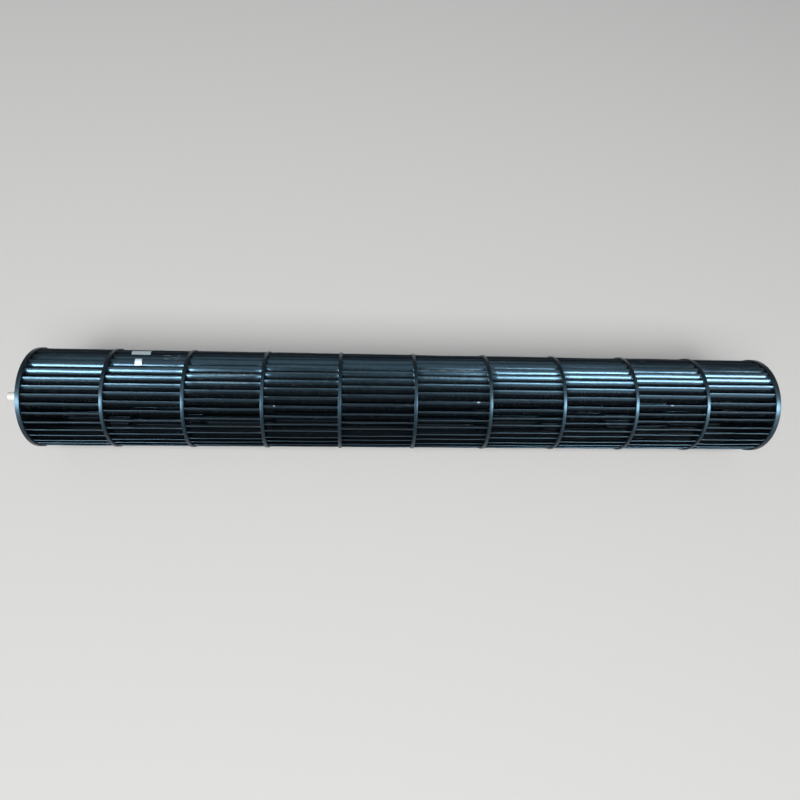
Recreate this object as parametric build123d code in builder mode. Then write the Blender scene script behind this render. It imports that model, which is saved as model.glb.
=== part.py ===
from build123d import *
from math import acos, atan2, cos, degrees, hypot, radians, sin
import os

# Cross flow fan wheel of an air conditioner's indoor unit.
#
# Nine equal mouldings, each a ring with a drum of forward-curved blades on one side, are welded end to
# end between a plate that carries the stub shaft and an end moulding that carries the motor hub.
# The axis of rotation is X. The origin is the mouth of the motor bore, on the outer face of the motor
# end, and the shaft end lies towards -X. Lengths are in millimetres and angles in degrees.

# Rings: flat annular rims that join the blade drums
ring_radius = 49.0
ring_width = 12.0
ring_thickness = 3.2
ring_pitch = 73.3                 # from the middle of one ring to the middle of the next
segment_count = 9

# Blades: circular-arc strips, radial at the inner edge and raked forward at the tip
tip_inset = 1.2                   # rings stand proud of the blade tips by this much
blade_depth = 10.3                # radial
blade_tip_angle = 26.0            # between the blade and the tangent, at the tip
blade_root_thickness = 1.3
blade_tip_thickness = 0.9
blade_flats = 3                   # flats that make up each curved side
first_blade_angle = 144.2         # tip of blade 0 in the first drum, from +Y towards +Z
segment_twist = 3.5               # each drum is turned this much from the one before it
# Spacing of the blade tips round the drum, uneven so that the fan doesn't whistle at one pitch
blade_steps = [
    11.7, 10.6, 10.2, 9.6, 10.1, 11.3, 12.7, 10.5, 10.5, 9.1, 11.2, 11.1,
    10.5, 9.6, 10.9, 9.2, 10.2, 10.7, 9.4, 10.9, 9.7, 10.1, 10.8, 9.2, 9.8, 10.6, 9.3, 9.5,
    10.0, 9.8, 11.7, 8.5, 11.3, 9.3, 10.4,
]

# Shaft end plate
plate_rim_thickness = 4.0
plate_web_thickness = 2.4
shaft_boss_radius = 9.0
shaft_boss_height = 10.0          # outwards from the web
shaft_boss_draft = 3.0
shaft_socket_radius = 7.0
shaft_socket_depth = 9.0          # inwards from the web, closed at its end
shaft_socket_floor = 2.5
plate_rib_count = 8
plate_rib_thickness = 1.8
plate_rib_drop = 4.0              # ribs meet the boss this far below its top

# Stub shaft and the nylon journal sleeve pushed over it
shaft_radius = 3.5
shaft_reach = 22.9                # free length beyond the boss's end
shaft_chamfer = 0.5
sleeve_radius = 4.5
sleeve_length = 20.0
sleeve_nose_fillet = 3.0
sleeve_floor = 1.5

# Motor end moulding
motor_rim_thickness = 5.2
motor_rim_chamfer = 0.8
motor_web_thickness = 2.6
motor_web_recess = 1.4            # below the outer face
hub_seat_radius = 17.5
hub_seat_wall = 2.4
hub_seat_depth = 15.0             # from the outer face to the lip
hub_lip_thickness = 2.0
hub_lip_radius = 11.5
motor_rib_count = 6
motor_rib_thickness = 1.8
motor_rib_height = 6.0
screw_gap_index = 11              # the blade left out for the screwdriver, counted from blade 0

# Rubber bush and metal boss
bush_length = 12.0
bush_groove_depth = 3.0
bush_groove_inner = 9.5
bush_groove_outer = 14.5
boss_radius = 6.5
boss_length = 30.0
boss_chamfer = 0.5
motor_bore_radius = 4.0

# Clamp screw
screw_radius = 2.5
screw_from_end = 6.0              # from the boss's inner end to the screw's axis
screw_setback = 0.3               # the tip stops short of the open bore
screw_head_radius = 4.0
screw_head_height = 3.5
screw_head_stand_off = 0.8        # under the head, while the screw is backed off
screw_socket_across_flats = 4.0
screw_socket_depth = 2.2

# Balance clips, pushed over the tips of two blades in the second drum
clip_thickness = 0.45
clip_leg = 6.5                    # how far a clip reaches in from the blade's tip
clip_short_length = 6.2
clip_short_start = 24.9           # from the middle of the ring on the drum's shaft side
clip_short_index = 7              # the blade that it grips
clip_long_length = 17.9
clip_long_start = 16.7
clip_long_index = 9
clip_drum = 2

# Fits
press_gap = 0.02                  # between parts that are pressed or bonded together, each side
thread_gap = 0.05
clip_gap = 0.05

# Worked-out sizes
ring_inner_radius = ring_radius - ring_width
tip_radius = ring_radius - tip_inset
blade_inner_radius = tip_radius - blade_depth
blade_arc_radius = (tip_radius**2 - blade_inner_radius**2) / (2 * tip_radius * cos(radians(blade_tip_angle)))
arc_centre_distance = hypot(blade_inner_radius, blade_arc_radius)
arc_centre_angle = degrees(atan2(blade_arc_radius, blade_inner_radius))
tip_from_centre = degrees(acos(
    (arc_centre_distance**2 + tip_radius**2 - blade_arc_radius**2) / (2 * arc_centre_distance * tip_radius)
))
blade_lean = arc_centre_angle - tip_from_centre      # the tip lies this far round from the inner edge
blade_turn = 90 - blade_tip_angle + blade_lean       # angle that the blade's arc turns through

drum_length = ring_pitch - ring_thickness
last_ring_middle = -motor_rim_thickness / 2 - ring_pitch
first_ring_middle = last_ring_middle - (segment_count - 1) * ring_pitch
plate_inner_face = first_ring_middle - ring_thickness / 2 - drum_length
plate_outer_face = plate_inner_face - plate_rim_thickness
plate_web_face = plate_inner_face - plate_web_thickness
shaft_boss_end = plate_web_face - shaft_boss_height
shaft_socket_end = plate_inner_face + shaft_socket_depth
shaft_inner_end = shaft_socket_end - shaft_socket_floor
shaft_outer_end = shaft_boss_end - shaft_reach
sleeve_end = shaft_outer_end - sleeve_floor
motor_inner_face = -motor_rim_thickness
motor_drum_length = motor_inner_face - (last_ring_middle + ring_thickness / 2)
motor_web_inner = -motor_web_recess - motor_web_thickness
hub_lip_face = -hub_seat_depth
bush_inner_face = hub_lip_face + press_gap
boss_inner_end = -boss_length
screw_x = boss_inner_end + screw_from_end
screw_tip = motor_bore_radius + screw_setback
screw_head_base = boss_radius + screw_head_stand_off

blade_angles = [first_blade_angle - sum(blade_steps[:i]) for i in range(len(blade_steps))]


def arc_point(radius, turn):
    """A point on a circle about the blade's arc centre, in a frame whose x axis is the blade's inner edge."""
    return (
        blade_inner_radius + radius * sin(radians(turn)),
        -blade_arc_radius + radius * cos(radians(turn)),
    )


def blade_outline():
    """Corners of a blade's section: out along one side to the tip, and back along the other."""
    convex = []
    concave = []
    for i in range(blade_flats + 1):
        share = i / blade_flats
        turn = blade_turn * share
        half = (blade_root_thickness + (blade_tip_thickness - blade_root_thickness) * share) / 2
        convex.append(arc_point(blade_arc_radius + half, turn))
        concave.append(arc_point(blade_arc_radius - half, turn))
    return convex + concave[::-1]


def at_tip_angle(angle):
    """Turns a blade about the axis until its tip lies at the given angle."""
    return Location((0, 0, 0), (0, 0, angle + blade_lean))


def drum_place(drum):
    """Where drum 0, 1, 2 ... sits along the axis, turned by the twist of the drums before it."""
    return Location((first_ring_middle + drum * ring_pitch, 0, 0), (-drum * segment_twist, 0, 0))


os.makedirs("parts", exist_ok=True)


# --- Blade segments: one moulding, a ring with its blades standing on the shaft side, made nine times ---
with BuildSketch() as blade_section:
    with BuildLine():
        Polyline(*blade_outline(), close=True)
    make_face()

with BuildPart() as drum_moulding:
    with BuildSketch(Plane.YZ.offset(-ring_thickness / 2)):
        Circle(ring_radius)
        Circle(ring_inner_radius, mode=Mode.SUBTRACT)
    extrude(amount=ring_thickness)
    with BuildSketch(Plane.YZ.offset(-ring_thickness / 2)):
        with Locations([at_tip_angle(angle) for angle in blade_angles]):
            add(blade_section.sketch)
    extrude(amount=-drum_length)

for drum in range(segment_count):
    with BuildPart() as blade_segment:
        with Locations(drum_place(drum)):
            add(drum_moulding.part)
    blade_segment.part.label = f"blade_segment_{drum + 1:02d}"
    export_step(blade_segment.part, f"parts/{blade_segment.part.label}.step")


# --- Shaft end plate: flat web, rim, drafted boss with gusset ribs outside and a closed socket inside ---
with BuildPart() as shaft_end_plate:
    with BuildSketch(Plane.YZ.offset(plate_inner_face)):
        Circle(ring_radius)
    extrude(amount=-plate_web_thickness)
    with BuildSketch(Plane.YZ.offset(plate_outer_face)):
        Circle(ring_radius)
        Circle(ring_inner_radius, mode=Mode.SUBTRACT)
    extrude(amount=plate_rim_thickness)
    with BuildSketch(Plane.YZ.offset(plate_web_face)):
        Circle(shaft_boss_radius)
    extrude(amount=-shaft_boss_height, taper=shaft_boss_draft)
    with BuildSketch(Plane.YZ.offset(plate_inner_face)):
        Circle(shaft_socket_radius)
    extrude(amount=shaft_socket_depth)
    with BuildSketch(Plane.XY) as gusset:
        with BuildLine():
            Polyline(
                (plate_web_face, 0),
                (shaft_boss_end + plate_rib_drop, 0),
                (shaft_boss_end + plate_rib_drop, shaft_boss_radius),
                (plate_outer_face, ring_inner_radius),
                (plate_web_face, ring_inner_radius),
                close=True,
            )
        make_face()
    ribs = extrude(amount=plate_rib_thickness / 2, both=True, mode=Mode.PRIVATE)
    with Locations([Location((0, 0, 0), (360 / plate_rib_count * i, 0, 0)) for i in range(plate_rib_count)]):
        add(ribs)
    with BuildSketch(Plane.YZ.offset(shaft_boss_end)):
        Circle(shaft_radius + press_gap)
    extrude(amount=shaft_inner_end - shaft_boss_end, mode=Mode.SUBTRACT)

shaft_end_plate.part.label = "shaft_end_plate"
export_step(shaft_end_plate.part, "parts/shaft_end_plate.step")


# --- Stub shaft: ground steel pin pressed into the plate's boss ---
with BuildPart() as shaft_pin:
    with BuildSketch(Plane.YZ.offset(shaft_inner_end)):
        Circle(shaft_radius)
    extrude(amount=shaft_outer_end - shaft_inner_end)
    chamfer(shaft_pin.edges().filter_by(GeomType.CIRCLE), length=shaft_chamfer)

shaft_pin.part.label = "shaft_pin"
export_step(shaft_pin.part, "parts/shaft_pin.step")


# --- Shaft sleeve: milky nylon cap with a bullet nose, the journal that turns in the bearing ---
with BuildPart() as shaft_sleeve:
    with BuildSketch(Plane.YZ.offset(sleeve_end)):
        Circle(sleeve_radius)
    extrude(amount=sleeve_length)
    fillet(shaft_sleeve.edges().group_by(Axis.X)[0], radius=sleeve_nose_fillet)
    with BuildSketch(Plane.YZ.offset(shaft_outer_end)):
        Circle(shaft_radius + press_gap)
    extrude(amount=sleeve_end + sleeve_length - shaft_outer_end, mode=Mode.SUBTRACT)

shaft_sleeve.part.label = "shaft_sleeve"
export_step(shaft_sleeve.part, "parts/shaft_sleeve.step")


# --- Motor end: blades, a rim, a recessed web and a deep seat for the rubber bush, in one moulding ---
motor_angles = [
    angle - (segment_count * segment_twist) for i, angle in enumerate(blade_angles) if i != screw_gap_index
]

with BuildPart() as motor_end_segment:
    with BuildSketch(Plane.YZ):
        Circle(ring_radius)
    extrude(amount=-motor_rim_thickness)
    chamfer(motor_end_segment.edges().group_by(Axis.X)[-1], length=motor_rim_chamfer)
    with BuildSketch(Plane.YZ):
        Circle(ring_inner_radius)
    extrude(amount=-motor_web_recess, mode=Mode.SUBTRACT)
    with BuildSketch(Plane.YZ.offset(motor_inner_face)):
        Circle(ring_inner_radius)
    extrude(amount=motor_web_inner - motor_inner_face, mode=Mode.SUBTRACT)
    with BuildSketch(Plane.YZ.offset(motor_inner_face)):
        with Locations([at_tip_angle(angle) for angle in motor_angles]):
            add(blade_section.sketch)
    extrude(amount=-motor_drum_length)
    with BuildSketch(Plane.YZ.offset(motor_web_inner)):
        Circle(hub_seat_radius + hub_seat_wall)
    extrude(amount=hub_lip_face - hub_lip_thickness - motor_web_inner)
    with BuildSketch(Plane.XY):
        with BuildLine():
            Polyline(
                (motor_web_inner, hub_seat_radius),
                (motor_web_inner - motor_rib_height, hub_seat_radius),
                (motor_web_inner, ring_inner_radius - motor_rib_height),
                close=True,
            )
        make_face()
    motor_ribs = extrude(amount=motor_rib_thickness / 2, both=True, mode=Mode.PRIVATE)
    with Locations([Location((0, 0, 0), (360 / motor_rib_count * i, 0, 0)) for i in range(motor_rib_count)]):
        add(motor_ribs)
    with BuildSketch(Plane.YZ):
        Circle(hub_seat_radius + press_gap)
    extrude(amount=hub_lip_face, mode=Mode.SUBTRACT)
    with BuildSketch(Plane.YZ):
        Circle(hub_lip_radius)
    extrude(amount=hub_lip_face - hub_lip_thickness, mode=Mode.SUBTRACT)

motor_end_segment.part.label = "motor_end_segment"
export_step(motor_end_segment.part, "parts/motor_end_segment.step")


# --- Rubber bush: bonded between the seat and the metal boss, with a soft groove in both faces ---
with BuildPart() as rubber_bush:
    with BuildSketch(Plane.YZ.offset(bush_inner_face)):
        Circle(hub_seat_radius)
        Circle(boss_radius + press_gap, mode=Mode.SUBTRACT)
    extrude(amount=bush_length)
    bush_outer_face = bush_inner_face + bush_length
    for face, depth in ((bush_inner_face, bush_groove_depth), (bush_outer_face, -bush_groove_depth)):
        with BuildSketch(Plane.YZ.offset(face)):
            Circle(bush_groove_outer)
            Circle(bush_groove_inner, mode=Mode.SUBTRACT)
        extrude(amount=depth, mode=Mode.SUBTRACT)

rubber_bush.part.label = "rubber_bush"
export_step(rubber_bush.part, "parts/rubber_bush.step")


# --- Hub boss: turned metal sleeve that takes the motor shaft, tapped across for the clamp screw ---
with BuildPart() as hub_boss:
    with BuildSketch(Plane.YZ):
        Circle(boss_radius)
        Circle(motor_bore_radius, mode=Mode.SUBTRACT)
    extrude(amount=-boss_length)
    chamfer(hub_boss.edges().filter_by(GeomType.CIRCLE).group_by(SortBy.RADIUS)[-1], length=boss_chamfer)
    with BuildSketch(Plane.XZ):
        with Locations((screw_x, 0)):
            Circle(screw_radius + thread_gap)
    extrude(amount=-boss_radius, mode=Mode.SUBTRACT)

hub_boss.part.label = "hub_boss"
export_step(hub_boss.part, "parts/hub_boss.step")


# --- Clamp screw: socket head, backed off so that its tip leaves the bore open ---
with BuildPart() as clamp_screw:
    with BuildSketch(Plane.XZ.offset(-screw_tip)):
        with Locations((screw_x, 0)):
            Circle(screw_radius)
    extrude(amount=screw_tip - screw_head_base)
    with BuildSketch(Plane.XZ.offset(-screw_head_base)):
        with Locations((screw_x, 0)):
            Circle(screw_head_radius)
    extrude(amount=-screw_head_height)
    with BuildSketch(Plane.XZ.offset(-screw_head_base - screw_head_height)):
        with Locations((screw_x, 0)):
            RegularPolygon(screw_socket_across_flats / 2, side_count=6, major_radius=False)
    extrude(amount=screw_socket_depth, mode=Mode.SUBTRACT)

clamp_screw.part.label = "clamp_screw"
export_step(clamp_screw.part, "parts/clamp_screw.step")


# --- Balance clips: spring-steel strips folded over the tips of two blades ---
drum_shaft_side = first_ring_middle + (clip_drum - 2) * ring_pitch
for name, blade, start, length in (
    ("balance_clip_short", clip_short_index, clip_short_start, clip_short_length),
    ("balance_clip_long", clip_long_index, clip_long_start, clip_long_length),
):
    tip_angle = blade_angles[blade] - (clip_drum - 1) * segment_twist
    with BuildSketch() as clip_section:
        add(blade_section.sketch)
        offset(amount=clip_gap + clip_thickness, kind=Kind.ARC)
        offset(blade_section.sketch, amount=clip_gap, kind=Kind.ARC, mode=Mode.SUBTRACT)
        with Locations(arc_point(blade_arc_radius, blade_turn)):
            Circle(clip_leg, mode=Mode.INTERSECT)
    with BuildPart() as balance_clip:
        with BuildSketch(Plane.YZ.offset(drum_shaft_side + start)):
            with Locations(at_tip_angle(tip_angle)):
                add(clip_section.sketch)
        extrude(amount=length)
    balance_clip.part.label = name
    export_step(balance_clip.part, f"parts/{name}.step")
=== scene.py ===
import random
from math import acos, atan2, cos, hypot, pi, radians, sin, tan

import bpy
from mathutils import Matrix, Vector


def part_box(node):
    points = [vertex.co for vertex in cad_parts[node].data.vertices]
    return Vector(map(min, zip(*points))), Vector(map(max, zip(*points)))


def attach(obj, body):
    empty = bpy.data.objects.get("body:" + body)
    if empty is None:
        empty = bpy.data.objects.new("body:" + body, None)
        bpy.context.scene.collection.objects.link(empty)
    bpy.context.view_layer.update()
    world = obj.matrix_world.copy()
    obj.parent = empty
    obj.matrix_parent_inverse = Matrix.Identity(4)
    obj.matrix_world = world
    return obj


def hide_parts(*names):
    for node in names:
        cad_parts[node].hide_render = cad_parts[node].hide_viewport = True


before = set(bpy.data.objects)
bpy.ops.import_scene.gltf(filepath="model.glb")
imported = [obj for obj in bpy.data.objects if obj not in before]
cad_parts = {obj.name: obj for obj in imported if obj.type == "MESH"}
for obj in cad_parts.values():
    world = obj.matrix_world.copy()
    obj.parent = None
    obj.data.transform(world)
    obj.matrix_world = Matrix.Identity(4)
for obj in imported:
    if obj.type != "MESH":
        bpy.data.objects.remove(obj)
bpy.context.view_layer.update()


# --- The view: the wheel lies across the picture and is looked down on from in front --------------
# The camera stands a little left of the wheel's middle and turns back towards it. The middle ring's
# centre is the point that the camera and the lamps are placed from.
low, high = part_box("blade_segment_05")
ring_thickness = 0.0032
wheel_middle = Vector((high.x - ring_thickness / 2, 0, 0))
ring_radius = high.z

camera_elevation = radians(65)
camera_distance = 0.6197
camera_left = 0.0591
camera_yaw = radians(4.34)
camera_pitch = radians(-0.09)
camera_roll = radians(-0.67)
camera_focal = 26.92

facing = Matrix.Rotation(pi / 2 - camera_elevation, 4, "X")     # turns +Z towards the camera
bpy.ops.object.camera_add()
camera = bpy.context.object
camera.name = "camera"
camera.data.lens = camera_focal
camera.data.sensor_width = 36
camera.data.clip_start = 0.01
camera.data.dof.use_dof = False
camera.matrix_world = (
    Matrix.Translation(wheel_middle)
    @ facing
    @ Matrix.Translation((-camera_left, 0, camera_distance))
    @ Matrix.Rotation(-camera_yaw, 4, "Y")
    @ Matrix.Rotation(-camera_pitch, 4, "X")
    @ Matrix.Rotation(-camera_roll, 4, "Z")
)
bpy.context.scene.camera = camera
bpy.context.scene.view_settings.view_transform = "Standard"


# --- Floor: a plain pale sheet that touches the lowest point of the rims --------------------------
# It is matt paper, laid flat, and no part of the wheel. Its finish is the first that is made, so the
# way in which every finish is put together comes with it.
per_metre = 1000            # millimetres, in which every pattern is laid out


class Value:
    """A socket that holds a number at every point of a surface. Arithmetic on it adds Math nodes."""

    def __init__(self, tree, socket):
        self.tree = tree
        self.socket = socket

    def math(self, operation, *inputs):
        node = self.tree.nodes.new("ShaderNodeMath")
        node.operation = operation
        for slot, entry in zip(node.inputs, inputs):
            if isinstance(entry, Value):
                self.tree.links.new(entry.socket, slot)
            else:
                slot.default_value = entry
        return Value(self.tree, node.outputs[0])

    def __add__(self, other):
        return self.math("ADD", self, other)

    def __radd__(self, other):
        return self.math("ADD", other, self)

    def __sub__(self, other):
        return self.math("SUBTRACT", self, other)

    def __rsub__(self, other):
        return self.math("SUBTRACT", other, self)

    def __mul__(self, other):
        return self.math("MULTIPLY", self, other)

    def __rmul__(self, other):
        return self.math("MULTIPLY", other, self)

    def root(self):
        return self.math("SQRT", self)

    def capped(self):
        return self.math("MINIMUM", self, 1.0)

    def ramp(self, start, end):
        """0 below start, 1 above end, and smooth between them."""
        node = self.tree.nodes.new("ShaderNodeMapRange")
        node.interpolation_type = "SMOOTHSTEP"
        node.inputs["From Min"].default_value = start
        node.inputs["From Max"].default_value = end
        self.tree.links.new(self.socket, node.inputs["Value"])
        return Value(self.tree, node.outputs["Result"])


class Finish:
    """A material whose patterns are laid on Object coordinates."""

    def __init__(self, name):
        self.material = bpy.data.materials.new(name)
        self.material.use_nodes = True
        self.tree = self.material.node_tree
        self.shader = self.tree.nodes["Principled BSDF"]

    def node(self, kind, settings=None, **sockets):
        """Adds a node, sets its settings, then fills its sockets with values or links."""
        made = self.tree.nodes.new(kind)
        for key, entry in (settings or {}).items():
            setattr(made, key, entry)
        for key, entry in sockets.items():
            slot = made.inputs[key.replace("_", " ")]
            if isinstance(entry, Value):
                self.tree.links.new(entry.socket, slot)
            elif isinstance(entry, bpy.types.NodeSocket):
                self.tree.links.new(entry, slot)
            else:
                slot.default_value = entry
        return made

    def place(self, stretch=(1, 1, 1)):
        """Object coordinates in millimetres. Under 1, stretch draws a pattern out along that axis."""
        coordinates = self.node("ShaderNodeTexCoord")
        mapping = self.node(
            "ShaderNodeMapping",
            Vector=coordinates.outputs["Object"],
            Scale=tuple(per_metre * share for share in stretch),
        )
        return mapping.outputs["Vector"]

    def noise(self, per_mm, stretch=(1, 1, 1), detail=2.0, roughness=0.5):
        """A cloudy pattern of about that many patches to the millimetre."""
        made = self.node(
            "ShaderNodeTexNoise",
            Vector=self.place(stretch),
            Scale=per_mm,
            Detail=detail,
            Roughness=roughness,
        )
        return Value(self.tree, made.outputs["Fac"])

    def along(self, axis):
        """Object coordinate along an axis, in millimetres."""
        parts = self.node("ShaderNodeSeparateXYZ", Vector=self.place())
        return Value(self.tree, parts.outputs[axis])

    def near(self, middle, reach):
        """1 round a point, and 0 beyond a reach along each of the three axes, all in millimetres."""
        coordinates = self.node("ShaderNodeTexCoord")
        offset = self.node(
            "ShaderNodeMapping",
            Vector=coordinates.outputs["Object"],
            Location=tuple(-m / r for m, r in zip(middle, reach)),
            Scale=tuple(per_metre / r for r in reach),
        )
        length = self.node(
            "ShaderNodeVectorMath", {"operation": "LENGTH"}, Vector=offset.outputs["Vector"]
        )
        return 1 - Value(self.tree, length.outputs["Value"]).ramp(0.7, 1)

    def mix(self, amount, first, second):
        """Blends two colours by amount."""
        made = self.node("ShaderNodeMix", {"data_type": "RGBA"})
        share, one, other = made.inputs[0], made.inputs[6], made.inputs[7]
        for slot, entry in ((share, amount), (one, first), (other, second)):
            if isinstance(entry, Value):
                self.tree.links.new(entry.socket, slot)
            elif isinstance(entry, bpy.types.NodeSocket):
                self.tree.links.new(entry, slot)
            else:
                slot.default_value = entry
        return made.outputs[2]

    def feed(self, socket, entry):
        """Links or sets one of the shader's own sockets."""
        slot = self.shader.inputs[socket]
        if isinstance(entry, Value):
            self.tree.links.new(entry.socket, slot)
        elif isinstance(entry, bpy.types.NodeSocket):
            self.tree.links.new(entry, slot)
        else:
            slot.default_value = entry

    def bump(self, height, distance):
        """Raises and sinks the look of the surface. distance is in metres."""
        made = self.node("ShaderNodeBump", Height=height, Distance=distance)
        self.feed("Normal", made.outputs["Normal"])


bpy.ops.object.select_all(action="DESELECT")
bpy.ops.mesh.primitive_plane_add(size=12, location=(wheel_middle.x, 0, -ring_radius))
floor = bpy.context.object
floor.name = "floor"
floor_finish = Finish("pale_floor")
floor_finish.feed("Base Color", (0.6, 0.595, 0.585, 1))
floor_finish.feed("Roughness", 0.9)
floor_finish.feed("Specular IOR Level", 0.0)
floor.data.materials.append(floor_finish.material)


# --- Light: two windows with a dark pier between them, their lower panes, a ceiling and a soft room ---
# The windows, panes and ceiling are what the glossy plastic mirrors, so they light nothing else. The
# soft lamp above and in front lights the floor and the dull surfaces.
def lamp(name, across, tilt, distance, size, power, mirrored):
    """An area lamp aimed at the wheel's middle.

    across is how far right of the middle it hangs, and tilt its angle in degrees about the wheel's axis
    from the camera, up the picture.
    """
    bpy.ops.object.light_add(type="AREA")
    made = bpy.context.object
    made.name = name
    made.data.shape = "RECTANGLE"
    made.data.size, made.data.size_y = size
    made.data.energy = power
    made.visible_diffuse = not mirrored
    made.visible_glossy = mirrored
    made.matrix_world = (
        Matrix.Translation(wheel_middle)
        @ Matrix.Rotation(-radians(tilt), 4, "X")
        @ facing
        @ Matrix.Translation((across, 0, distance))
    )


window_distance = 1.5
window_width = 1.5
pier_left = -0.67
pier_right = 0.45
window_size = (window_width, 0.28)
pane_size = (window_width, 1.1)
left_window = pier_left - window_width / 2
right_window = pier_right + window_width / 2
lamp("window_left", left_window, -12, window_distance, window_size, 102, True)
lamp("window_right", right_window, -6, window_distance, window_size, 108, True)
lamp("pane_left", left_window - 0.01, -40, window_distance, pane_size, 12, True)
lamp("pane_right", right_window + 0.05, -40, window_distance, pane_size, 12, True)
lamp("dim_pier", 0, -35, 1.6, (1.2, 1.2), 1, True)
lamp("ceiling", 0, 28, 2.2, (3.0, 1.6), 24, True)
lamp("room", -0.3, -8, 3.2, (3.2, 2.2), 150, False)

world = bpy.data.worlds.new("room")
bpy.context.scene.world = world
world.use_nodes = True
world.node_tree.nodes["Background"].inputs["Color"].default_value = (0.9, 0.95, 1.0, 1)
world.node_tree.nodes["Background"].inputs["Strength"].default_value = 0.15


# --- Blade drums: rings with blades moulded on their shaft side -----------------------------------
# Each drum is one moulding of glass-filled black plastic: a flat ring, and 35 thin forward-curved
# blades that grow out of it and are welded to the ring of the next drum. Glossy, then dusty.
tip_radius = ring_radius - 0.0012
blade_depth = 0.0103
blade_tip_angle = radians(26)
blade_root_thickness = 0.0013
blade_tip_thickness = 0.0009
ring_width = 0.012
rim_round = 0.00035
foot_fillet = 0.0006
first_blade_angle = radians(144.2)
drum_twist = radians(3.5)
blade_steps = [
    11.7, 10.6, 10.2, 9.6, 10.1, 11.3, 12.7, 10.5, 10.5, 9.1, 11.2, 11.1,
    10.5, 9.6, 10.9, 9.2, 10.2, 10.7, 9.4, 10.9, 9.7, 10.1, 10.8, 9.2, 9.8, 10.6, 9.3, 9.5,
    10.0, 9.8, 11.7, 8.5, 11.3, 9.3, 10.4,
]
blade_inner_radius = tip_radius - blade_depth
blade_arc = (tip_radius**2 - blade_inner_radius**2) / (2 * tip_radius * cos(blade_tip_angle))
to_arc_centre = hypot(blade_inner_radius, blade_arc)
blade_lean = atan2(blade_arc, blade_inner_radius) - acos(
    (to_arc_centre**2 + tip_radius**2 - blade_arc**2) / (2 * to_arc_centre * tip_radius)
)
blade_turn = pi / 2 - blade_tip_angle + blade_lean
arc_centre = Vector((0, blade_inner_radius, -blade_arc))
blade_edge_round = 0.4 * blade_tip_thickness
square_edges = radians(60)
blade_rows = 9              # flats round the arc
blade_stations = 10         # and along the length
waviness = 0.00015          # how far a blade's middle bows, as a standard deviation
dice = random.Random(35)


def fresh(name):
    """The object just added, under its own name."""
    made = bpy.context.object
    made.name = name
    made.data.name = name
    return made


def only(piece):
    """Selects one object and nothing else."""
    bpy.ops.object.select_all(action="DESELECT")
    piece.select_set(True)
    bpy.context.view_layer.objects.active = piece


def pick(piece, kind, test):
    """Goes into edit mode with only those vertices, edges or faces selected that pass a test."""
    only(piece)
    bpy.ops.object.mode_set(mode="EDIT")
    bpy.ops.mesh.select_mode(type={"vertices": "VERT", "edges": "EDGE", "polygons": "FACE"}[kind])
    bpy.ops.mesh.select_all(action="DESELECT")
    bpy.ops.object.mode_set(mode="OBJECT")
    for element in getattr(piece.data, kind):
        element.select = test(element)
    bpy.ops.object.mode_set(mode="EDIT")


def all_of(piece):
    """Goes into edit mode with the whole mesh selected."""
    only(piece)
    bpy.ops.object.mode_set(mode="EDIT")
    bpy.ops.mesh.select_mode(type="VERT")
    bpy.ops.mesh.select_all(action="SELECT")


def apply_modifier(piece, kind, **settings):
    only(piece)
    modifier = piece.modifiers.new(kind.lower(), kind)
    for key, entry in settings.items():
        setattr(modifier, key, entry)
    bpy.ops.object.modifier_apply(modifier=modifier.name)


def copied(piece, name):
    made = piece.copy()
    made.data = piece.data.copy()
    made.name = name
    made.data.name = name
    bpy.context.scene.collection.objects.link(made)
    return made


def joined(pieces):
    bpy.ops.object.select_all(action="DESELECT")
    for piece in pieces:
        piece.select_set(True)
    bpy.context.view_layer.objects.active = pieces[0]
    bpy.ops.object.join()
    return pieces[0]


def finished(piece, name, finish, slot, *nodes):
    """Smooths a finished piece, gives it its name and material and lets it ride with the wheel."""
    only(piece)
    fresh(name)
    bpy.ops.object.transform_apply(location=True, rotation=True, scale=True)
    bpy.ops.object.shade_smooth_by_angle(angle=radians(35))
    piece.data.materials.clear()
    piece.data.materials.append(finish.material)
    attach(piece, "root")
    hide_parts(*nodes)


def turned_on_arc(place):
    """How far round the blade's arc a point lies from the inner edge, and how far from its centre."""
    y, z = place.y - arc_centre.y, place.z - arc_centre.z
    return atan2(y, z), hypot(y, z)


def on_arc(turn, radius):
    return arc_centre.y + radius * sin(turn), arc_centre.z + radius * cos(turn)


def curved_bar(length, thickness, stations):
    """A strip bent round the blade's arc, from x = 0 towards -X. Its inner edge is on +Y."""
    only(camera)
    bpy.ops.mesh.primitive_grid_add(x_subdivisions=stations, y_subdivisions=1, size=1)
    made = fresh("bar")
    all_of(made)
    bpy.ops.transform.resize(value=(length, thickness, 1))
    bpy.ops.object.mode_set(mode="OBJECT")
    made.data.transform(
        Matrix.Translation((-length / 2, blade_inner_radius, 0)) @ Matrix.Rotation(pi / 2, 4, "X")
    )
    all_of(made)
    bpy.ops.mesh.spin(steps=blade_rows, angle=blade_turn, center=arc_centre, axis=(1, 0, 0))
    bpy.ops.mesh.select_all(action="SELECT")
    bpy.ops.mesh.remove_doubles(threshold=1e-6)
    bpy.ops.mesh.normals_make_consistent(inside=False)
    bpy.ops.object.mode_set(mode="OBJECT")
    return made


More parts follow.
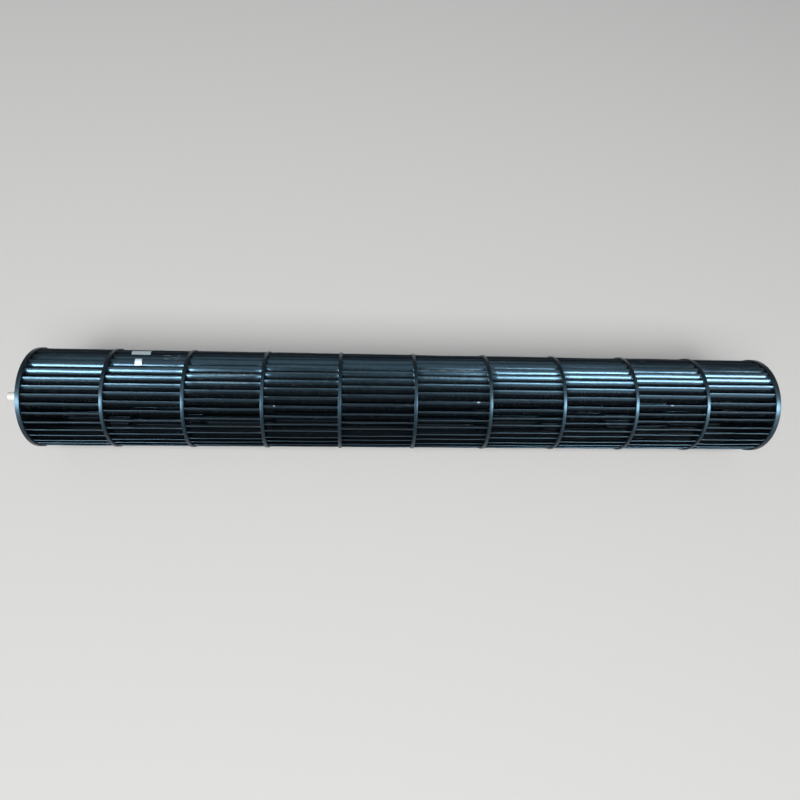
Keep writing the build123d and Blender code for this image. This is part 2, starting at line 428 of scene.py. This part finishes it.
def blade(length):
    """One blade, thinner towards its tip, with round edges, and flared where it leaves its ring."""
    made = curved_bar(length, blade_root_thickness, blade_stations)
    for vertex in made.data.vertices:
        turn, radius = turned_on_arc(vertex.co)
        thinned = 1 - (1 - blade_tip_thickness / blade_root_thickness) * turn / blade_turn
        vertex.co.y, vertex.co.z = on_arc(turn, blade_arc + (radius - blade_arc) * thinned)
    apply_modifier(
        made,
        "BEVEL",
        width=blade_edge_round,
        segments=3,
        limit_method="ANGLE",
        angle_limit=square_edges,
    )
    all_of(made)
    for share in (0.15, 0.5, 1):
        bpy.ops.mesh.select_all(action="SELECT")
        bpy.ops.mesh.bisect(plane_co=(-foot_fillet * share, 0, 0), plane_no=(1, 0, 0))
    bpy.ops.object.mode_set(mode="OBJECT")
    for vertex in made.data.vertices:
        away = max(0, min(-vertex.co.x / foot_fillet, 1))
        outwards = Vector((0, vertex.normal.y, vertex.normal.z)).normalized()
        vertex.co += outwards * foot_fillet * (1 - (1 - (1 - away) ** 2) ** 0.5)
    return made


def turned(corners, steps=96):
    """Turns an outline of (x, radius, rounding) corners about the axis, where it may start and end."""
    only(camera)
    bpy.ops.mesh.primitive_plane_add(size=1)
    made = fresh("turned")
    all_of(made)
    bpy.ops.mesh.merge(type="CENTER")
    bpy.ops.transform.translate(value=(corners[0][0], corners[0][1], 0))
    for before, after in zip(corners, corners[1:]):
        step = (after[0] - before[0], after[1] - before[1], 0)
        bpy.ops.mesh.extrude_vertices_move(TRANSFORM_OT_translate={"value": step})
    bpy.ops.mesh.select_all(action="SELECT")
    bpy.ops.mesh.edge_face_add()
    bpy.ops.object.mode_set(mode="OBJECT")
    for x, radius, rounding in corners:
        if rounding:
            pick(made, "vertices", lambda v: (v.co - Vector((x, radius, 0))).length < 1e-6)
            bpy.ops.mesh.bevel(offset=rounding, segments=4, affect="VERTICES")
            bpy.ops.object.mode_set(mode="OBJECT")
    all_of(made)
    bpy.ops.mesh.delete(type="ONLY_FACE")
    bpy.ops.object.mode_set(mode="OBJECT")
    places = made.data.vertices
    pick(made, "edges", lambda e: max(places[v].co.y for v in e.vertices) < 1e-6)
    bpy.ops.mesh.delete(type="EDGE")
    bpy.ops.mesh.select_mode(type="VERT")
    bpy.ops.mesh.select_all(action="SELECT")
    bpy.ops.mesh.spin(steps=steps, angle=2 * pi, center=(0, 0, 0), axis=(1, 0, 0))
    bpy.ops.mesh.select_all(action="SELECT")
    bpy.ops.mesh.remove_doubles(threshold=1e-6)
    bpy.ops.mesh.normals_make_consistent(inside=False)
    bpy.ops.object.mode_set(mode="OBJECT")
    return made


def drum(length, first_tip, left_out=()):
    """The blades of one moulding, their roots on x = 0. first_tip is where blade 0 has its tip."""
    model = blade(length)
    blades = []
    tip = first_tip
    for number, step in enumerate(blade_steps):
        if number not in left_out:
            made = copied(model, f"blade_{number}")
            bow, snake = dice.gauss(0, waviness), dice.gauss(0, waviness / 2)
            for vertex in made.data.vertices:
                along = -vertex.co.x / length
                turn, radius = turned_on_arc(vertex.co)
                bend = bow * sin(pi * along) + snake * sin(2 * pi * along)
                vertex.co.y += bend * sin(blade_turn) * turn / blade_turn
                vertex.co.z += bend * cos(blade_turn) * turn / blade_turn
            made.data.transform(Matrix.Rotation(tip + blade_lean, 4, "X"))
            blades.append(made)
        tip -= radians(step)
    bpy.data.objects.remove(model)
    return blades


rim_steps = 144
black_plastic = Finish("black_moulded_plastic")

# Where on the wheel: the blades' outer edges, the rims of the rings, and the side that faces up.
across, up = black_plastic.along("Y"), black_plastic.along("Z")
from_axis = (across * across + up * up).root()
edge = from_axis.ramp(per_metre * tip_radius - 0.7, per_metre * tip_radius - 0.2)
rim = from_axis.ramp(per_metre * tip_radius + 0.3, per_metre * tip_radius + 0.6)
upper_side = 0.15 + 0.85 * up.ramp(15, 42)

# Dust has settled in patches, and fingers have left lengthwise streaks. The blades' outer edges are a
# little worn, which makes them rougher, and are lightened as a painted highlight: the thin grey line
# that their rounded tips catch.
patches = black_plastic.noise(0.12, detail=3).ramp(0.42, 0.62)
speckle = black_plastic.noise(1.1, detail=4, roughness=0.75).ramp(0.52, 0.72)
dust = upper_side * speckle * (0.25 + 0.75 * patches)
edge_breakup = black_plastic.noise(0.25, stretch=(0.3, 1, 1), detail=3).ramp(0.3, 0.6)
# Painted highlight: this lightens the blades' outer edges into thin grey lines. In the roughness it
# stands for wear.
edge_wear_and_highlight = edge * (1 - rim) * (0.35 + 0.65 * edge_breakup)
handled = black_plastic.noise(0.03, detail=1).ramp(0.45, 0.6)
streaks = black_plastic.noise(0.9, stretch=(0.07, 1, 1), detail=3, roughness=0.6).ramp(0.66, 0.76)
streaks = streaks * handled
# The edges' small share in this mix is painted highlight. The rest is dust and streaks.
dull = 0.35 * dust + 0.03 * edge_wear_and_highlight + 0.8 * streaks

# A scuff beside the clips, grit on the edges of the sixth bay, dust along two edges of the third, and
# three crumbs. Places and reaches are in millimetres.
scratches = black_plastic.noise(1.0, stretch=(0.12, 1, 1), detail=3, roughness=0.7).ramp(0.5, 0.62)
flecks = black_plastic.noise(1.2, detail=3, roughness=0.7).ramp(0.57, 0.62)
scuff = scratches * black_plastic.near((-605.5, 26, 40.2), (10, 5, 5))
grit = flecks * edge * black_plastic.near((-333, 7, 46.5), (38, 12, 8))
dusty_edges = (
    black_plastic.near((-549.5, 4.2, 47.6), (34, 3, 3))
    + black_plastic.near((-549.5, -4.2, 47.6), (34, 3, 3))
)
crumbs = (
    3 * black_plastic.near((-308.5, -20.2, 43.3), (1.8, 1.5, 1.5))
    + 2 * black_plastic.near((-113.4, -21.1, 42.9), (1.4, 1.3, 1.3))
    + black_plastic.near((-504, -25.3, 40.5), (1.0, 1.0, 1.0))
)
pale = 0.3 * scuff + 0.8 * grit + 0.8 * (0.05 + flecks) * edge * dusty_edges + crumbs

clean_black = (0.004, 0.006, 0.008, 1)
# This grey is the colour of dust and streaks, and also of the painted highlight on the blade edges.
dust_and_edge_highlight_grey = (0.12, 0.13, 0.135, 1)
crumb_grey = (0.36, 0.44, 0.48, 1)
black_with_dust_and_edge_highlight = black_plastic.mix(dull.capped(), clean_black, dust_and_edge_highlight_grey)
black_plastic.feed("Base Color", black_plastic.mix(pale.capped(), black_with_dust_and_edge_highlight, crumb_grey))
grain = black_plastic.noise(2.2, detail=2, roughness=0.7)
black_plastic.feed(
    "Roughness", 0.20 + 0.08 * grain + 0.14 * dust + 0.12 * rim + 0.1 * edge_wear_and_highlight + 0.15 * streaks
)
# Painted reflection colour: the blue tint of the plastic's reflections stands in for bluish daylight
# from the windows, since the lamps are white.
black_plastic.feed("Specular Tint", (0.37, 0.72, 1.0, 1))
ripple = black_plastic.noise(0.35, stretch=(0.4, 1, 1), detail=4, roughness=0.65)
black_plastic.bump(ripple, 0.00003)

drum_count = sum(name.startswith("blade_segment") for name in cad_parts)
ring_inner_radius = ring_radius - ring_width
for number in range(drum_count):
    node = f"blade_segment_{number + 1:02d}"
    low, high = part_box(node)
    ring_face = high.x - ring_thickness
    blades = drum(ring_face - low.x, first_blade_angle - number * drum_twist)
    for made in blades:
        made.data.transform(Matrix.Translation((ring_face, 0, 0)))
    ring = turned(
        [
            (ring_face, ring_inner_radius, rim_round),
            (high.x, ring_inner_radius, rim_round),
            (high.x, ring_radius, rim_round),
            (ring_face, ring_radius, rim_round),
        ],
        rim_steps,
    )
    finished(joined([ring] + blades), f"drum_{number + 1:02d}", black_plastic, "black_plastic", node)


# --- Shaft end plate: black plastic, welded to the first drum -------------------------------------
# A flat web in a thicker rim, with a tapered boss outside that eight gussets hold, and a closed socket
# inside for the pin's inner end.
low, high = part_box("blade_segment_01")
plate_inner_face = low.x
plate_web = 0.0024
plate_rim = 0.004
shaft_boss_radius = 0.009
shaft_boss_height = 0.010
shaft_boss_draft = radians(3)
shaft_socket_radius = 0.007
shaft_socket_depth = 0.009
shaft_socket_floor = 0.0025
shaft_radius = 0.0035
press_gap = 0.00002
gusset_count = 8
gusset_thickness = 0.0018
gusset_drop = 0.004
moulded_round = 0.0005

plate_rim_face = plate_inner_face - plate_rim
plate_web_face = plate_inner_face - plate_web
shaft_boss_end = plate_web_face - shaft_boss_height
boss_top_radius = shaft_boss_radius - shaft_boss_height * tan(shaft_boss_draft)
shaft_socket_end = plate_inner_face + shaft_socket_depth
shaft_inner_end = shaft_socket_end - shaft_socket_floor


def flat_rib(corners, thickness, rounding, number, count):
    """A thin upright rib of (x, radius) corners, one of several spaced evenly round the axis."""
    only(camera)
    bpy.ops.mesh.primitive_plane_add(size=1)
    made = fresh("rib")
    all_of(made)
    bpy.ops.mesh.merge(type="CENTER")
    bpy.ops.transform.translate(value=(corners[0][0], corners[0][1], -thickness / 2))
    for before, after in zip(corners, corners[1:]):
        step = (after[0] - before[0], after[1] - before[1], 0)
        bpy.ops.mesh.extrude_vertices_move(TRANSFORM_OT_translate={"value": step})
    bpy.ops.mesh.select_all(action="SELECT")
    bpy.ops.mesh.edge_face_add()
    bpy.ops.mesh.extrude_region_move(TRANSFORM_OT_translate={"value": (0, 0, thickness)})
    bpy.ops.mesh.select_all(action="SELECT")
    bpy.ops.mesh.normals_make_consistent(inside=False)
    bpy.ops.object.mode_set(mode="OBJECT")
    apply_modifier(made, "BEVEL", width=rounding, segments=2, limit_method="ANGLE")
    made.data.transform(Matrix.Rotation(2 * pi * number / count, 4, "X"))
    return made


plate = turned(
    [
        (shaft_socket_end, 0, 0),
        (shaft_socket_end, shaft_socket_radius, moulded_round),
        (plate_inner_face, shaft_socket_radius, 0),
        (plate_inner_face, ring_radius, rim_round),
        (plate_rim_face, ring_radius, rim_round),
        (plate_rim_face, ring_inner_radius, rim_round),
        (plate_web_face, ring_inner_radius, moulded_round),
        (plate_web_face, shaft_boss_radius, moulded_round),
        (shaft_boss_end, boss_top_radius, moulded_round),
        (shaft_boss_end, shaft_radius + press_gap, rim_round),
        (shaft_inner_end, shaft_radius + press_gap, 0),
        (shaft_inner_end, 0, 0),
    ],
    rim_steps,
)
gussets = [
    flat_rib(
        [
            (plate_web_face, 0.5 * shaft_boss_radius),
            (shaft_boss_end + gusset_drop, 0.5 * shaft_boss_radius),
            (shaft_boss_end + gusset_drop, shaft_boss_radius),
            (plate_rim_face, ring_inner_radius),
            (plate_web_face, ring_inner_radius),
        ],
        gusset_thickness,
        rim_round,
        number,
        gusset_count,
    )
    for number in range(gusset_count)
]
finished(joined([plate] + gussets), "shaft_plate", black_plastic, "black_plastic", "shaft_end_plate")


# --- Stub shaft: a ground steel pin pressed into the plate's boss ---------------------------------
# Bright round bar, chamfered at both ends. Grinding leaves very fine lines round it.
low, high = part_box("shaft_pin")
shaft_chamfer = 0.0005
ground_steel = Finish("ground_steel")
lines = ground_steel.noise(1.0, detail=3, stretch=(30, 0.6, 0.6))
stain = ground_steel.noise(0.35, detail=3).ramp(0.45, 0.7)
ground_steel.feed("Base Color", ground_steel.mix(stain, (0.56, 0.55, 0.53, 1), (0.38, 0.35, 0.31, 1)))
ground_steel.feed("Metallic", 1.0)
ground_steel.feed("Roughness", 0.22 + 0.12 * lines + 0.15 * stain)
ground_steel.bump(lines, 0.00002)
pin = turned(
    [
        (low.x, 0, 0),
        (low.x, shaft_radius, shaft_chamfer),
        (high.x, shaft_radius, shaft_chamfer),
        (high.x, 0, 0),
    ]
)
finished(pin, "stub_shaft", ground_steel, "shaft_steel", "shaft_pin")


# --- Shaft sleeve: a milky nylon cap pushed over the pin ------------------------------------------
# Moulded in natural nylon, which lets some light through, with a bullet nose and a faint ring of grey
# where it has run in its bearing.
low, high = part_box("shaft_sleeve")
sleeve_nose = 0.003
sleeve_radius = high.z
shaft_outer_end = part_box("shaft_pin")[0].x
milky_nylon = Finish("milky_nylon")
cloud = milky_nylon.noise(0.3, detail=3)
rubbed = milky_nylon.noise(1.0, detail=3, stretch=(2.5, 0.25, 0.25)).ramp(0.5, 0.75)
clouded = milky_nylon.mix(cloud, (0.74, 0.73, 0.68, 1), (0.66, 0.66, 0.62, 1))
milky_nylon.feed("Base Color", milky_nylon.mix(0.6 * rubbed, clouded, (0.42, 0.42, 0.4, 1)))
milky_nylon.feed("Roughness", 0.34 + 0.2 * rubbed)
milky_nylon.feed("Subsurface Weight", 0.35)
milky_nylon.feed("Subsurface Radius", (1.0, 0.9, 0.75))
milky_nylon.feed("Subsurface Scale", 0.0015)
milky_nylon.bump(milky_nylon.noise(4.0, detail=2), 0.00003)
sleeve = turned(
    [
        (low.x, 0, 0),
        (low.x, sleeve_radius, sleeve_nose),
        (high.x, sleeve_radius, rim_round),
        (high.x, shaft_radius + press_gap, 0),
        (shaft_outer_end, shaft_radius + press_gap, 0),
        (shaft_outer_end, 0, 0),
    ]
)
finished(sleeve, "nylon_sleeve", milky_nylon, "milky_nylon", "shaft_sleeve")


# --- Motor end: the last blades, a thick rim, a recessed web and the bush seat, in one moulding ---
# Same black plastic. One blade is left out so that a screwdriver can reach the clamp screw. Six ribs
# stiffen the web on the inside.
low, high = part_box("motor_end_segment")
motor_rim = 0.0052
motor_rim_chamfer = 0.0008
motor_web_recess = 0.0014
motor_web = 0.0026
hub_seat_radius = 0.0175
hub_seat_wall = 0.0024
hub_seat_depth = 0.015
hub_lip = 0.002
hub_lip_radius = 0.0115
motor_rib_count = 6
motor_rib_height = 0.006
motor_rib_thickness = 0.0018
screw_gap_index = 11

motor_web_inner = -motor_web_recess - motor_web
bush_bore = hub_seat_radius + press_gap
motor_disc = turned(
    [
        (-motor_web_recess, bush_bore, rim_round),
        (-motor_web_recess, ring_inner_radius, rim_round),
        (high.x, ring_inner_radius, rim_round),
        (high.x, ring_radius, motor_rim_chamfer),
        (-motor_rim, ring_radius, rim_round),
        (-motor_rim, ring_inner_radius, rim_round),
        (motor_web_inner, ring_inner_radius, moulded_round),
        (motor_web_inner, hub_seat_radius + hub_seat_wall, moulded_round),
        (-hub_seat_depth - hub_lip, hub_seat_radius + hub_seat_wall, moulded_round),
        (-hub_seat_depth - hub_lip, hub_lip_radius, rim_round),
        (-hub_seat_depth, hub_lip_radius, 0),
        (-hub_seat_depth, bush_bore, 0),
    ],
    rim_steps,
)
motor_ribs = [
    flat_rib(
        [
            (motor_web_inner, hub_seat_radius + 0.5 * hub_seat_wall),
            (motor_web_inner - motor_rib_height, hub_seat_radius + 0.5 * hub_seat_wall),
            (motor_web_inner, ring_inner_radius - motor_rib_height),
        ],
        motor_rib_thickness,
        rim_round,
        number,
        motor_rib_count,
    )
    for number in range(motor_rib_count)
]
motor_blades = drum(-motor_rim - low.x, first_blade_angle - drum_count * drum_twist, {screw_gap_index})
for made in motor_blades:
    made.data.transform(Matrix.Translation((-motor_rim, 0, 0)))
motor_end = joined([motor_disc] + motor_ribs + motor_blades)
finished(motor_end, "motor_end", black_plastic, "black_plastic", "motor_end_segment")


# --- Rubber bush: soft black rubber bonded between the seat and the boss --------------------------
# It keeps the motor's hum out of the wheel. A moulded groove in each face lets it give.
low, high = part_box("rubber_bush")
bush_groove_depth = 0.003
bush_groove_inner = 0.0095
bush_groove_outer = 0.0145
boss_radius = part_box("hub_boss")[1].z
bush_rubber = Finish("bush_rubber")
bloom = bush_rubber.noise(0.6, detail=4).ramp(0.4, 0.75)
bloomed = bush_rubber.mix(bloom, (0.016, 0.016, 0.017, 1), (0.055, 0.055, 0.055, 1))
bush_rubber.feed("Base Color", bloomed)
bush_rubber.feed("Roughness", 0.62 + 0.2 * bloom)
bush_rubber.bump(bush_rubber.noise(8.0, detail=3), 0.00006)
bush = turned(
    [
        (low.x, boss_radius + press_gap, rim_round),
        (low.x, bush_groove_inner, rim_round),
        (low.x + bush_groove_depth, bush_groove_inner, moulded_round),
        (low.x + bush_groove_depth, bush_groove_outer, moulded_round),
        (low.x, bush_groove_outer, rim_round),
        (low.x, hub_seat_radius, rim_round),
        (high.x, hub_seat_radius, rim_round),
        (high.x, bush_groove_outer, rim_round),
        (high.x - bush_groove_depth, bush_groove_outer, moulded_round),
        (high.x - bush_groove_depth, bush_groove_inner, moulded_round),
        (high.x, bush_groove_inner, rim_round),
        (high.x, boss_radius + press_gap, rim_round),
    ]
)
finished(bush, "soft_bush", bush_rubber, "bush_rubber", "rubber_bush")


# --- Hub boss: turned steel, zinc plated, with the motor bore and a tapped cross hole -------------
# The cutter leaves fine turning lines on it. The clamp screw goes in from the side, near its inner end.
low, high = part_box("hub_boss")
motor_bore_radius = 0.004
boss_chamfer = 0.0005
screw_radius = 0.0025
thread_gap = 0.00005
screw_low, screw_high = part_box("clamp_screw")
screw_middle = (screw_low.x + screw_high.x) / 2
plated_steel = Finish("plated_steel")
turning = plated_steel.noise(1.0, detail=2, stretch=(14, 0.4, 0.4))
dull = plated_steel.noise(0.5, detail=4).ramp(0.4, 0.7)
plated_steel.feed("Base Color", plated_steel.mix(dull, (0.62, 0.61, 0.57, 1), (0.42, 0.42, 0.4, 1)))
plated_steel.feed("Metallic", 1.0)
plated_steel.feed("Roughness", 0.26 + 0.1 * turning + 0.18 * dull)
plated_steel.bump(turning, 0.00004)
boss = turned(
    [
        (low.x, motor_bore_radius, rim_round),
        (low.x, boss_radius, boss_chamfer),
        (high.x, boss_radius, boss_chamfer),
        (high.x, motor_bore_radius, rim_round),
    ]
)
only(camera)
bpy.ops.mesh.primitive_cylinder_add(
    vertices=32,
    radius=screw_radius + thread_gap,
    depth=boss_radius,
    location=(screw_middle, 1.1 * boss_radius / 2 + motor_bore_radius / 2, 0),
    rotation=(pi / 2, 0, 0),
)
drill = fresh("drill")
bpy.ops.object.transform_apply(location=True, rotation=True, scale=True)
apply_modifier(boss, "BOOLEAN", object=drill, operation="DIFFERENCE", solver="EXACT")
bpy.data.objects.remove(drill)
finished(boss, "steel_boss", plated_steel, "boss_steel", "hub_boss")


# --- Clamp screw: socket head, zinc plated steel, backed off from the bore ------------------------
# Its thread shows between the boss and the head, and is drawn as close grooves. A hexagonal socket
# takes the key.
screw_head_radius = 0.004
screw_head_height = 0.0035
screw_socket = 0.004       # across the flats
screw_socket_depth = 0.0022
thread_pitch = 0.0008
screw_head_base = screw_high.y - screw_head_height
zinc = Finish("zinc_plated_screw")
spangle = zinc.noise(1.2, detail=3)
zinc.feed("Base Color", zinc.mix(spangle, (0.52, 0.52, 0.50, 1), (0.38, 0.38, 0.37, 1)))
zinc.feed("Metallic", 1.0)
zinc.feed("Roughness", 0.26 + 0.2 * spangle)
zinc.bump(spangle, 0.00002)
thread_root = screw_radius - 0.6134 * thread_pitch      # the depth of a metric thread
thread = [(screw_low.y, thread_root, 0)]
for turn in range(int((screw_head_base - screw_low.y) / thread_pitch)):
    thread.append((screw_low.y + (turn + 0.5) * thread_pitch, screw_radius, 0))
    thread.append((screw_low.y + (turn + 1) * thread_pitch, thread_root, 0))
screw = turned(
    [(screw_low.y, 0, 0)]
    + thread
    + [
        (screw_head_base, thread_root, 0),
        (screw_head_base, screw_head_radius, rim_round),
        (screw_high.y, screw_head_radius, rim_round),
        (screw_high.y, 0, 0),
    ],
    48,
)
bpy.ops.mesh.primitive_cylinder_add(
    vertices=6,
    radius=screw_socket / 3**0.5,
    depth=2 * screw_socket_depth,
    location=(screw_high.y, 0, 0),
    rotation=(0, pi / 2, 0),
)
key_form = fresh("key_form")
apply_modifier(screw, "BOOLEAN", object=key_form, operation="DIFFERENCE", solver="EXACT")
bpy.data.objects.remove(key_form)
screw.data.transform(Matrix.Translation((screw_middle, 0, 0)) @ Matrix.Rotation(pi / 2, 4, "Z"))
finished(screw, "socket_screw", zinc, "screw_steel", "clamp_screw")


# --- Balance clips: spring-steel strips folded over the tips of two blades ------------------------
# Pushed on after the wheel is balanced. One is short, and the other is longer; both have the same
# finish.
clip_thickness = 0.00045
clip_gap = 0.00005
clip_leg = 0.0065
clip_fold = 0.9 * blade_tip_thickness / 2
clip_drum = 2               # counted from the shaft end
spring_steel = Finish("spring_steel")
rolled = spring_steel.noise(1.0, stretch=(0.3, 6, 6), detail=3)
spring_steel.feed("Base Color", spring_steel.mix(rolled, (0.44, 0.53, 0.56, 1), (0.34, 0.42, 0.45, 1)))
spring_steel.feed("Metallic", 0.7)
spring_steel.feed("Roughness", 0.46 + 0.15 * rolled)
spring_steel.bump(rolled, 0.00003)


def clip(node, blade_index):
    """A strip that follows one face of the blade out to its tip, over it, and back down the other."""
    low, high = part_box(node)
    made = curved_bar(high.x - low.x, blade_root_thickness, 2)
    for vertex in made.data.vertices:
        turn, radius = turned_on_arc(vertex.co)
        thinned = 1 - (1 - blade_tip_thickness / blade_root_thickness) * turn / blade_turn
        side = clip_gap + clip_thickness / 2
        half = blade_root_thickness / 2 * thinned + side
        over = side / blade_arc if turn > 0.99 * blade_turn else 0
        outside = 1 if radius > blade_arc else -1
        vertex.co.y, vertex.co.z = on_arc(turn + over, blade_arc + outside * half)
    tip = Vector(on_arc(blade_turn, blade_arc))
    pick(made, "polygons", lambda f: abs(f.normal.x) > 0.9 or (f.center.yz - tip).length > clip_leg)
    bpy.ops.mesh.delete(type="FACE")
    bpy.ops.object.mode_set(mode="OBJECT")
    apply_modifier(
        made, "BEVEL", width=clip_fold, segments=4, limit_method="ANGLE", angle_limit=square_edges
    )
    apply_modifier(made, "SOLIDIFY", thickness=clip_thickness, offset=0, use_even_offset=True)
    steps_before = radians(sum(blade_steps[:blade_index]))
    tip_angle = first_blade_angle - (clip_drum - 1) * drum_twist - steps_before
    made.data.transform(
        Matrix.Translation((high.x, 0, 0)) @ Matrix.Rotation(tip_angle + blade_lean, 4, "X")
    )
    finished(made, node.replace("balance_", ""), spring_steel, "clip_steel", node)


clip("balance_clip_short", 7)
clip("balance_clip_long", 9)
